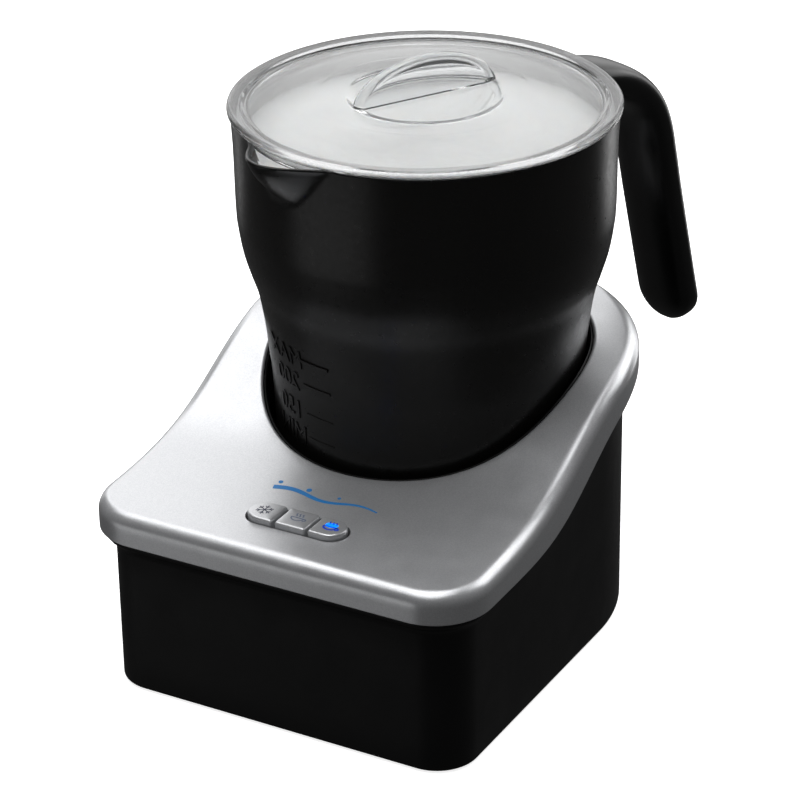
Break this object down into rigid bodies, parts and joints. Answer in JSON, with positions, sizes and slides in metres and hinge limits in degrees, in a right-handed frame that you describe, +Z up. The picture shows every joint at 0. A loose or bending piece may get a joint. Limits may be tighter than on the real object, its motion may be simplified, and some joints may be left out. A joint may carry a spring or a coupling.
{
  "type": "milk frother",
  "caption": "Electric milk frother: a square-fronted heated base with three buttons and a lift-off spouted jug with a side handle, magnetic whisk and clear lid.",
  "frame": {"origin": "on the floor, at the middle of the whole object's outline", "axes": "+Z up, buttons face -Y, +X to the right as seen from the front"},
  "size_m": [0.1212, 0.194, 0.169],
  "materials": {
    "black_shell": "satin black moulding",
    "silver_paint": "satin silver paint on plastic",
    "jug_coating": "satin black non-stick coating on steel",
    "clear_plastic": "clear moulded plastic",
    "seal_rubber": "translucent silicone",
    "foot_rubber": "matt black rubber",
    "aluminium": "turned",
    "steel": "plain bright steel",
    "grey_plastic": "grey moulding",
    "circuit_board": "green solder mask",
    "component": "black component case",
    "magnet": "nickel-plated magnet",
    "blue_light": "blue diode lens"
  },
  "bodies": {
    "base": {"base_housing": "black_shell", "bottom_cover": "black_shell", "top_cover": "silver_paint", "jug_well": "black_shell", "foot_1": "foot_rubber", "foot_2": "foot_rubber", "foot_3": "foot_rubber", "foot_4": "foot_rubber", "housing_screw_1": "steel", "housing_screw_2": "steel", "housing_screw_3": "steel", "housing_screw_4": "steel", "cord_gland": "foot_rubber", "gland_nut": "grey_plastic", "heating_plate": "aluminium", "heater_element": "steel", "thermal_cutout": "component", "sensor_guide": "grey_plastic", "sensor_spring": "steel", "motor_can": "steel", "motor_end_cap": "grey_plastic", "motor_bracket": "steel", "bracket_screw_1": "steel", "bracket_screw_2": "steel", "control_board": "circuit_board", "board_screw_1": "steel", "board_screw_2": "steel", "cold_froth_switch": "component", "hot_milk_switch": "component", "hot_froth_switch": "component", "cold_froth_light": "blue_light", "hot_milk_light": "blue_light", "hot_froth_light": "blue_light", "power_board": "circuit_board", "transformer": "component", "heater_relay": "component", "terminal_block": "grey_plastic", "smoothing_capacitor": "component"},
    "drive_rotor": {"motor_shaft": "steel", "magnet_carrier": "grey_plastic", "drive_magnet_1": "magnet", "drive_magnet_2": "magnet"},
    "sensor": {"temperature_sensor": "steel"},
    "jug": {"jug_body": "jug_coating", "jug_handle": "black_shell", "handle_bracket": "steel", "handle_screw": "steel", "whisk_pin": "steel"},
    "whisk": {"whisk_hub": "grey_plastic", "whisk_coil": "steel", "whisk_magnet_1": "magnet", "whisk_magnet_2": "magnet"},
    "lid": {"lid": "clear_plastic", "lid_seal": "seal_rubber"},
    "cold_froth_key": {"cold_froth_button": "silver_paint"},
    "hot_milk_key": {"hot_milk_button": "silver_paint"},
    "hot_froth_key": {"hot_froth_button": "silver_paint"}
  },
  "joints": [
    {"name": "jug_lift", "type": "slide", "parent": "base", "child": "jug", "axis": [0, 0, 1], "range_m": [0, 0.08]},
    {"name": "lid_lift", "type": "slide", "parent": "jug", "child": "lid", "axis": [0, 0, 1], "range_m": [0, 0.06]},
    {"name": "drive_spin", "type": "hinge", "parent": "base", "child": "drive_rotor", "pos_m": [0, -0.0041, 0.037], "axis": [0, 0, 1], "continuous": true},
    {"name": "whisk_spin", "type": "hinge", "parent": "jug", "child": "whisk", "pos_m": [0, -0.0041, 0.049], "axis": [0, 0, 1], "continuous": true},
    {"name": "sensor_press", "type": "slide", "parent": "base", "child": "sensor", "axis": [0, 0, 1], "range_m": [-0.0015, 0], "stiffness_N_per_m": 300, "springref_m": 0.001, "deforming": ["sensor_spring"]},
    {"name": "cold_froth_press", "type": "slide", "parent": "base", "child": "cold_froth_key", "axis": [0, 0, 1], "range_m": [-0.001, 0], "stiffness_N_per_m": 1500, "springref_m": 0.0003},
    {"name": "hot_milk_press", "type": "slide", "parent": "base", "child": "hot_milk_key", "axis": [0, 0, 1], "range_m": [-0.001, 0], "stiffness_N_per_m": 1500, "springref_m": 0.0003},
    {"name": "hot_froth_press", "type": "slide", "parent": "base", "child": "hot_froth_key", "axis": [0, 0, 1], "range_m": [-0.001, 0], "stiffness_N_per_m": 1500, "springref_m": 0.0003}
  ],
  "couplings": [
    {"joint": "whisk_spin", "follows": "drive_spin", "ratio": 1}
  ]
}
